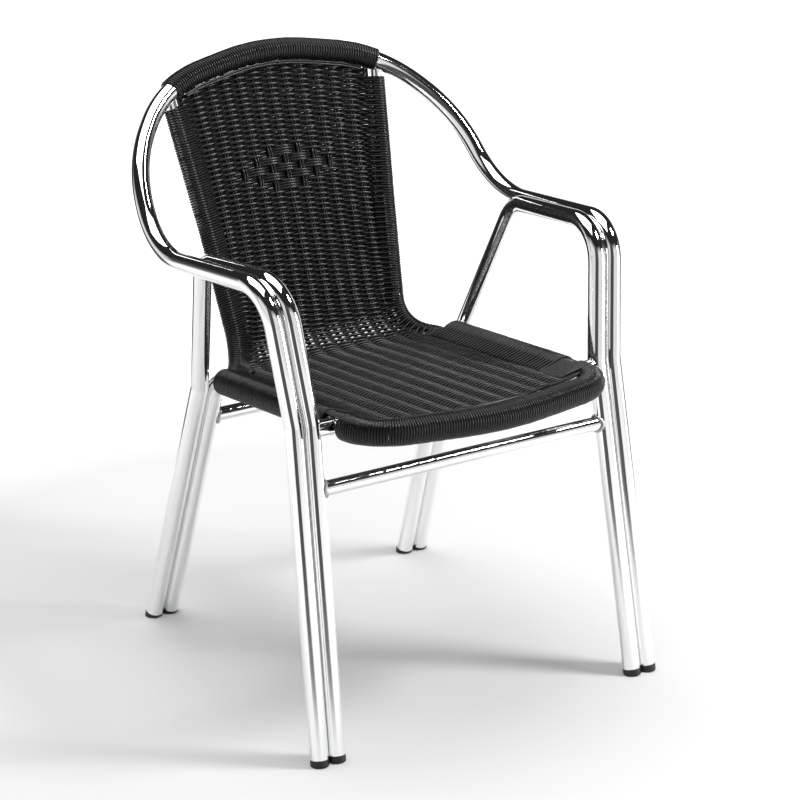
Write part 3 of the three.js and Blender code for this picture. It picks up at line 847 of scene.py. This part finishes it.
# Rows of the weave: straight on the seat, level on the back with their ends hanging a little
seat_rows = np.arange(seat_start, rise_distance, SEAT_PITCH)
rise_height = profile.at(rise_distance)[2]
back_levels = np.arange(rise_height, hoop_top[2] - TOP_WRAP_RADIUS, BACK_ROW_PITCH)
rising = stations > rise_distance
level_starts = np.interp(back_levels, station_points[rising, 2], stations[rising])
row_starts = np.concatenate([seat_rows, level_starts])
on_seat = row_starts < heel_distance
edge_insets = np.where(on_seat, SEAT_WRAP_INSET + SEAT_WRAP_EDGE, BACK_WRAP_INSET + BACK_WRAP_EDGE)
row_half = half_width(row_starts) - edge_insets + ROW_TUCK
row_columns = np.linspace(-1, 1, COLUMNS_PER_GAP * 2 * (STAKES_EACH_SIDE + 1) + 1)
row_x = row_half[:, None] * row_columns
row_distance = np.repeat(row_starts[:, None], len(row_columns), axis=1)
on_back = slice(len(seat_rows), None)
sag = ROW_SAG * (np.abs(row_x) / (stake_spacing(row_distance) * STAKES_EACH_SIDE)) ** ROW_SAG_POWER
levels = back_levels[:, None] - sag[on_back] * smooth(*ROW_SAG_HEIGHTS, back_levels)[:, None]
for _ in range(ROW_LEVEL_ROUNDS):
    reached = surface(row_distance[on_back], row_x[on_back])[..., 2]
    row_distance[on_back] += (levels - reached) * ROW_LEVEL_STEP_SHARE
    row_distance = np.clip(row_distance, 0, profile.length)
grid = surface(row_distance, row_x)
grid_normals = panel_normal(row_distance, row_x)
phases = row_x / stake_spacing(row_distance)

motif_total = MOTIF_BAND_ROWS * len(MOTIF_STITCHES)
motif_first = len(seat_rows) + int(np.argmin(np.abs(back_levels - MOTIF_HEIGHT))) - motif_total // 2
motif_range = range(motif_first, motif_first + motif_total)


def stitches_of(row):
    """The stakes that come forward in a row of the diamond, whose bands are listed from the top."""
    return MOTIF_STITCHES[(motif_range[-1] - row) // MOTIF_BAND_ROWS] if row in motif_range else ()


def side_of_stake(row, stake):
    """+1 where the row passes in front of the stake, -1 where it passes behind."""
    stitches = stitches_of(row)
    if stake in stitches:
        return -1
    if stitches and min(stitches) <= stake <= max(stitches):
        return 1
    return 1 if (row + stake) % 2 == 0 else -1


def weave_height(row):
    """The row's height off the panel's middle at each column, in strand crossings."""
    last = STAKES_EACH_SIDE + SPARE_STAKES
    heights = np.array([side_of_stake(row, stake) for stake in range(-last, last + 1)], dtype=float)
    place = np.clip(phases[row], -last, last - JUST_UNDER)
    low = np.floor(place).astype(int)
    share = smooth(*CROSSING_EASE_SHARES, place - low)
    index = low + last
    return heights[index] * (1 - share) + heights[index + 1] * share


# The rows' ends stop at the front roll where it curves back, and the upper rows stop at the hoop
front_curve = seat_path.points[(seat_path.points[:, 0] > 0) & (seat_path.points[:, 1] < SPACER_Y)]
front_curve = front_curve[np.argsort(front_curve[:, 1])]
front_reach = np.interp(grid[..., 1], front_curve[:, 1] + FRONT_WRAP_RADIUS, front_curve[:, 0])
top_reach = hoop_point(row_x)[..., 2] - TOP_ROWS_DROP
row_kept = np.where(grid[..., 1] < SPACER_Y, np.abs(row_x) < front_reach, grid[..., 2] < top_reach)

# The strands lie closer and fuller up the back than on the seat
fullness = smooth(heel_distance - FULL_REACH, heel_distance + FULL_REACH, row_starts)
row_radius = lerp(STRAND_RADIUS, BACK_STRAND_RADIUS, fullness)
crossing_places = [heel_distance - FULL_REACH, heel_distance + FULL_REACH, rise_distance + FULL_REACH]
row_crossing = np.interp(row_starts, crossing_places, CROSSINGS)


def row_strands(first, last, name, nodes):
    builder = Builder()
    for r in range(first, last):
        wander = vec(0, 0, rng.normal(0, STRAND_WANDER))
        lift = row_crossing[r] * weave_height(r)
        points = grid[r] + grid_normals[r] * lift[:, None] + wander
        keep = row_kept[r]
        if keep.sum() >= FEWEST_COLUMNS:
            builder.strand(points[keep], grid_normals[r][keep], row_radius[r])
    builder.piece(name, rattan, "rattan_strand", nodes)


split_distance = lerp(heel_distance, rise_distance, PANEL_SPLIT_SHARE)
first_back_row = int(np.searchsorted(row_starts, split_distance))
row_strands(0, first_back_row, "seat_weave_rows", ["seat_weave"])
row_strands(first_back_row, len(row_starts), "back_weave_rows", ["back_weave"])

# Stakes: a pair of strands over and under which the rows pass. In the diamond they come forward
stitched = np.zeros((len(row_starts), STAKES_EACH_SIDE * 2 + 1))
for row in motif_range:
    for stake in stitches_of(row):
        stitched[row, stake + STAKES_EACH_SIDE] = 1


def stake_pair(distances, middle, lift):
    radius = lerp(SEAT_STAKE_RADIUS, BACK_STAKE_RADIUS, smooth(heel_distance, rise_distance, distances))
    for side in (-1, 1):
        x = middle + side * (radius + STAKE_GAP / 2)
        normals = panel_normal(distances, x)
        stake_builder.strand(surface(distances, x) + normals * lift[:, None], normals, radius)


stake_builder = Builder()
stake_end = profile.length - CLEARANCE
stake_distances = np.linspace(seat_start - STAKE_FRONT_TUCK, stake_end, STAKE_STEPS)
for stake in range(-STAKES_EACH_SIDE, STAKES_EACH_SIDE + 1):
    x = stake * stake_spacing(stake_distances)
    height = surface(stake_distances, x)[:, 2]
    forward = np.interp(height, back_levels, stitched[on_back, stake + STAKES_EACH_SIDE])
    stake_pair(stake_distances, x, STITCH_LIFT * forward)

# Beside each band, a pair that runs from the band's top into the hoop's wrap
edge_distances = np.linspace(band_top_distance - EDGE_STAKE_TUCK, stake_end, EDGE_STAKE_STEPS)
for sign in (1, -1):
    x = sign * (half_width(edge_distances) - EDGE_STAKE_INSET)
    stake_pair(edge_distances, x, np.zeros(len(edge_distances)))
stake_builder.piece("weave_stakes", rattan, "rattan_strand")


# Wraps


def circle_outline(radius):
    return arc(radius, angles_round(CIRCLE_STEPS))


def band_outline(radius, inset, edge):
    """The outline of a wrap over a tube and a flat part inboard of it, evenly spaced."""
    swing = np.arcsin((radius - edge) / inset)
    over_tube = arc(radius, np.linspace(pi / 2 - swing, pi * 3 / 2 + swing, BAND_TUBE_STEPS))
    at_edge = arc(edge, np.linspace(swing - pi / 2, pi / 2 - swing, BAND_EDGE_STEPS)) + [inset, 0]
    closed = np.concatenate([over_tube, at_edge, over_tube[:1]])
    run = run_along(closed)
    return interpolated(np.linspace(0, run[-1], BAND_STEPS, endpoint=False), run, closed)


def sunk(outline, inset):
    """The same outline with its flat part lower and shorter, for every second turn."""
    share = smooth(*(inset * np.array(SINK_EASE_SHARES)), outline[:, 0])
    lower = outline[:, 1] * (1 - SINK_SHARE * share)
    return np.stack([outline[:, 0] - SINK_SHORTER * share, lower], axis=1)


def winding(builder, centres, sides, ups, outlines, pitch):
    """Winds a strand round a line, given once per turn, with its outlines taken in turn."""
    steps = len(outlines[0])
    count = np.arange((len(centres) - 1) * steps + 1)
    turn = count / steps
    taken = (count // steps % len(outlines), count % steps)
    at_turn = np.arange(len(centres))
    centre = interpolated(turn, at_turn, centres)
    side = unit(interpolated(turn, at_turn, sides))
    up = unit(interpolated(turn, at_turn, ups))
    slack = np.interp(turn, at_turn, rng.normal(0, STRAND_WANDER, len(centres)))
    shapes = np.stack(outlines)
    shape = shapes[taken]
    edge = (np.roll(shapes, -1, axis=1) - np.roll(shapes, 1, axis=1))[taken]
    away = unit(np.stack([edge[:, 1], -edge[:, 0]], axis=1))
    points = centre + shape[:, :1] * side + shape[:, 1:] * up
    normals = unit(away[:, :1] * side + away[:, 1:] * up)
    builder.strand(points + normals * slack[:, None], normals, pitch / 2 * STRAND_FIT_SHARE)


def wrap_round(builder, path, outline, pitch):
    """Winds a strand round a level path, inner side on its right, evenly at its outer side."""
    sides = unit(np.cross(path.tangents, vec(0, 0, 1)))
    outer = path.points - sides * np.abs(outline[:, 0].min()) * OUTER_SHARE
    run = run_along(outer)
    turns = max(2, round(run[-1] / pitch))
    distances = np.interp(np.linspace(0, run[-1], turns + 1), run, path.distances)
    tangents = path.tangent(distances)
    sides = unit(np.cross(tangents, vec(0, 0, 1)))
    winding(builder, path.at(distances), sides, np.cross(sides, tangents), [outline], pitch)


def stretch(path, low, high):
    """The part of a path between low and high limits of X and Y."""
    distances = np.linspace(0, path.length, STRETCH_STEPS)
    places = path.at(distances)[:, :2]
    inside = distances[np.all((places >= low) & (places <= high), axis=1)]
    return path.part(inside[0], inside[-1], STRAND_RADIUS)


top_path = stretch(hoop_path, (-TOP_WRAP_HALF_WIDTH, -inf), (TOP_WRAP_HALF_WIDTH, inf))
top_places = np.linspace(0, top_path.length, int(top_path.length / TOP_WRAP_PITCH) + 1)
top_tangents = top_path.tangent(top_places)
top_sides = unit(np.cross(top_tangents, vec(0, 1, 0)))
top_ups = np.cross(top_tangents, top_sides)
top_outline = circle_outline(TOP_WRAP_RADIUS - TOP_WRAP_PITCH / 2)
builder = Builder()
winding(builder, top_path.at(top_places), top_sides, top_ups, [top_outline], TOP_WRAP_PITCH)
builder.piece("top_wrap", rattan, "rattan_strand", ["top_wrap"])

# Binding strands under the top wrap
down = unit((back_middle - back_top) * FLAT)
inside = np.abs(top_path.points[:, 0]) <= BINDING_HALF_WIDTH
away = unit(down - top_path.tangents * (top_path.tangents @ down)[:, None])
binding_normals = np.cross(top_path.tangents, away)
builder = Builder()
for gap in TOP_BINDING_GAPS:
    line = top_path.points + away * (TOP_WRAP_RADIUS + gap) + binding_normals * TOP_BINDING_FORWARD
    builder.strand(line[inside], binding_normals[inside], BINDING_RADIUS, BINDING_SIDES)
builder.piece("top_binding_strand", rattan, "rattan_strand", ["top_binding_strand"])

# Front roll, with a band at each corner and a pair of binding strands behind it
half_strand = SEAT_PITCH / 2
seat_outline = band_outline(SEAT_WRAP_RADIUS - half_strand, SEAT_WRAP_INSET, SEAT_WRAP_EDGE - half_strand)
rail_slope = abs(unit(seat_corner - seat_rear)[2])
spacer_reach = SPACER_GAP + FRONT_WRAP_RADIUS * rail_slope
corner_start = SPACER_Y - spacer_reach - STRAND_RADIUS
roll_path = stretch(seat_path, (-inf, -inf), (inf, CORNER_BAND_FRONT))
roll_outline = circle_outline(FRONT_WRAP_RADIUS - FRONT_WRAP_PITCH / 2)
builder = Builder()
wrap_round(builder, roll_path, roll_outline, FRONT_WRAP_PITCH)
for x_low, x_high in ((0, inf), (-inf, 0)):
    corner = stretch(seat_path, (x_low, CORNER_BAND_FRONT), (x_high, corner_start))
    wrap_round(builder, corner, seat_outline, CORNER_BAND_PITCH)
builder.piece("front_edge_wrap", rattan, "rattan_strand", ["front_edge_wrap"])

front_builder = Builder()
front_x = np.linspace(-FRONT_BINDING_HALF_WIDTH, FRONT_BINDING_HALF_WIDTH, FRONT_BINDING_STEPS)
tube_front = front_curve[np.argsort(front_curve[:, 0])]
tube_front_y = np.interp(np.abs(front_x), tube_front[:, 0], tube_front[:, 1])
behind_tube = lerp(*FRONT_BINDING_BEHIND, smooth(*FRONT_BINDING_EASE, np.abs(front_x)))
rail_ends = (FRONT_Y, seat_rear[1])
rail_levels = [seat_level(y)[2] for y in rail_ends]
for k in range(FRONT_BINDING_STRANDS):
    front_y = tube_front_y + behind_tube + k * BINDING_RADIUS * 2
    height = np.interp(front_y, rail_ends, rail_levels) + CROSSINGS[0] + BINDING_RADIUS
    line = np.stack([front_x, front_y, height], axis=1)
    front_builder.strand(line, vec(0, 0, 1), BINDING_RADIUS, BINDING_SIDES)

# Between the spacer and the seat's band a few strands lie over the rail only
notch_far = sqrt(NOTCH_REACH ** 2 + NOTCH_EDGE ** 2)
notch_start_angle = atan(NOTCH_EDGE / NOTCH_REACH) + acos(NOTCH_RADIUS / notch_far)
notch_bend = arc(NOTCH_RADIUS, np.linspace(notch_start_angle, NOTCH_END_ANGLE, NOTCH_BEND_STEPS))
notch_run = np.linspace((NOTCH_REACH, NOTCH_EDGE), notch_bend[0], NOTCH_RUN_STEPS, endpoint=False)
notch_outline = np.concatenate([notch_run, notch_bend])
for sign in (1, -1):
    along = unit(sided(seat_rear - seat_corner, sign))
    inward = vec(-sign, 0, 0)
    side = unit(inward - along * (along @ inward))
    up = np.cross(along, side) * sign
    for y in np.linspace(*NOTCH_DEPTHS, NOTCH_STRANDS):
        shape = notch_outline if y > corner_start else notch_outline[:-NOTCH_CORNER_SHORTER]
        shape = shape + rng.normal(0, STRAND_WANDER, 2)
        points = sided(rail_point(y), sign) + shape[:, :1] * side + shape[:, 1:] * up
        front_builder.strand(points, up, STRAND_RADIUS)
front_builder.piece("front_binding_strands", rattan, "rattan_strand")

# Edge bands: the rows' ends wound round the side tubes and the seat rails
back_band = np.arange(heel_distance, band_top_distance, BACK_BAND_PITCH)
seat_band = seat_rows[seat_rows <= heel_distance]
seat_wrap_front = SPACER_Y + spacer_reach + STRAND_RADIUS
seat_band = seat_band[profile.at(seat_band)[:, 1] > seat_wrap_front]
half_strand = BACK_BAND_PITCH / 2
back_outline = band_outline(BACK_WRAP_RADIUS - half_strand, BACK_WRAP_INSET, BACK_WRAP_EDGE - half_strand)


def edge_band(name, centres, tangents, sign, outline, inset, pitch):
    inward = vec(-sign, 0, 0)
    sides = unit(inward - tangents * (tangents @ inward)[:, None])
    ups = np.cross(sides, tangents) * sign
    outlines = [outline, sunk(outline, inset)] if sign > 0 else [outline]
    builder = Builder()
    winding(builder, centres, sides, ups, outlines, pitch)
    builder.piece(name, rattan, "rattan_strand", [name])


back_shape = (back_outline, BACK_WRAP_INSET, BACK_BAND_PITCH)
seat_shape = (seat_outline, SEAT_WRAP_INSET, SEAT_PITCH)
for word, sign in SIDES:
    path = back_path(sign)
    places = path.nearest(profile.at(back_band))
    edge_band(f"back_edge_wrap_{word}", path.at(places), -path.tangent(places), sign, *back_shape)
    centres = np.array([sided(rail_point(y), sign) for y in profile.at(seat_band)[:, 1]])
    tangents = np.tile(unit(sided(seat_rear - seat_corner, sign)), (len(centres), 1))
    edge_band(f"seat_edge_wrap_{word}", centres, tangents, sign, *seat_shape)


# Camera
scene = bpy.context.scene
camera_data = bpy.data.cameras.new("camera")
camera_data.sensor_width = SENSOR_WIDTH
camera_data.lens = camera_data.sensor_width * FOCAL_PIXELS / IMAGE_PIXELS
camera = bpy.data.objects.new("camera", camera_data)
scene.collection.objects.link(camera)
forward = (CAMERA_TARGET - CAMERA_PLACE).normalized()
level = forward.cross(Vector((0, 0, 1))).normalized()
upward = level.cross(forward)
right = level * cos(CAMERA_ROLL) + upward * sin(CAMERA_ROLL)
top = upward * cos(CAMERA_ROLL) - level * sin(CAMERA_ROLL)
camera.matrix_world = Matrix((
    (right.x, top.x, -forward.x, CAMERA_PLACE.x),
    (right.y, top.y, -forward.y, CAMERA_PLACE.y),
    (right.z, top.z, -forward.z, CAMERA_PLACE.z),
    (0, 0, 0, 1),
))
scene.camera = camera

# Studio: white all round, but dark overhead, behind the camera and in narrow strips, so the metal
# shows black bands between white ones. The dark overhead starts higher on the camera's side
scene.view_settings.view_transform = "Standard"


def heading_share(n, place):
    """The cosine between the heading of a place or direction and the camera's."""
    level = n.vector_math("MULTIPLY", place, (1, 1, 0))["Vector"]
    heading = n.vector_math("NORMALIZE", level)["Vector"]
    return n.vector_math("DOT_PRODUCT", heading, TOWARDS_CAMERA)["Value"]


def darkness(n, place):
    """How dark the studio looks in the metal, by the heading of a place or direction."""
    towards = heading_share(n, place)
    dark = n.remap(towards, *CAMERA_SIDE, 0.0, CAMERA_SIDE_DARKNESS)
    for middle, inner, outer, depth in SIDE_STRIPS:
        away = n.math("ABSOLUTE", n.math("SUBTRACT", towards, middle), 0.0)
        dark = n.math("MAXIMUM", dark, n.remap(away, inner, outer, depth, 0.0))
    return dark


def floor_material():
    """White paper with a painted glow, faint near the chair where it lifts the shadow and growing further
    out. For glossy rays only it is painted dark far out, as the studio's dark parts where the metal shows
    it, and a little brighter elsewhere.
    """
    n = new_material("studio_floor")
    ray = n.add("ShaderNodeLightPath").outputs
    place = n.place()
    distance = n.vector_math("LENGTH", place)["Value"]
    # Painted reflection: dark far out and by heading, in glossy rays only
    far = n.remap(distance, *PAINTED_REFLECTION_DARK_RADII)
    dark = n.math("MULTIPLY", n.math("MULTIPLY", far, darkness(n, place)), ray["Is Glossy Ray"])
    white = n.remap(ray["Is Glossy Ray"], 0.0, 1.0, FLOOR_WHITE, FLOOR_WHITE_PAINTED_IN_METAL)
    n.set("Base Color", n.blend(dark, n.grey(white), PAINTED_REFLECTION_DARK_COLOUR))
    n.set("Roughness", FLOOR_ROUGHNESS)
    n.set("Specular IOR Level", 0.0)
    # Painted glow, dimmer in metal and gone where the reflection is painted dark
    shown = n.remap(ray["Is Glossy Ray"], 0.0, 1.0, 1.0, SEEN_IN_METAL)
    glow = n.math("MULTIPLY", n.remap(distance, *PAINTED_GLOW_RADII, *FLOOR_GLOW), shown)
    n.set("Emission Color", WHITE)
    n.set("Emission Strength", n.math("MULTIPLY", glow, n.math("SUBTRACT", 1.0, dark)))
    return n.owner


floor_mesh = bpy.data.meshes.new("studio_floor")
floor_corners = [(x * FLOOR_REACH, y * FLOOR_REACH, 0) for x, y in ((-1, -1), (1, -1), (1, 1), (-1, 1))]
floor_mesh.from_pydata(floor_corners, [], [(0, 1, 2, 3)])
floor_mesh.materials.append(floor_material())
floor = bpy.data.objects.new("studio_floor", floor_mesh)
scene.collection.objects.link(floor)

for name, place, target, width, length, power in SOFT_BOXES:
    data = bpy.data.lights.new(name, "AREA")
    data.shape = "RECTANGLE"
    data.size = width
    data.size_y = length
    data.energy = power
    light = bpy.data.objects.new(name, data)
    light.location = place
    light.rotation_euler = (Vector(target) - Vector(place)).to_track_quat("-Z", "Y").to_euler()
    scene.collection.objects.link(light)

world = bpy.data.worlds.new("studio")
scene.world = world
n = Nodes(world, "Background")
ray = n.add("ShaderNodeLightPath").outputs
direction = n.place("Generated")
lowered = n.remap(heading_share(n, direction), *FRONT_HEADINGS, 0.0, -FRONT_RISE)
overhead = n.remap(n.math("ADD", n.split(direction)["Z"], lowered), *OVERHEAD)
dark = n.math("MAXIMUM", overhead, darkness(n, direction))
glossy = n.remap(dark, 0.0, 1.0, SEEN_IN_METAL - PLAIN_LEVEL, DARK_LEVEL - PLAIN_LEVEL)
level = n.math("ADD", n.math("MULTIPLY", glossy, ray["Is Glossy Ray"]), PLAIN_LEVEL)
white = n.math("MAXIMUM", ray["Is Camera Ray"], ray["Is Transmission Ray"])
n.set("Color", WHITE)
n.set("Strength", n.math("MAXIMUM", level, white))
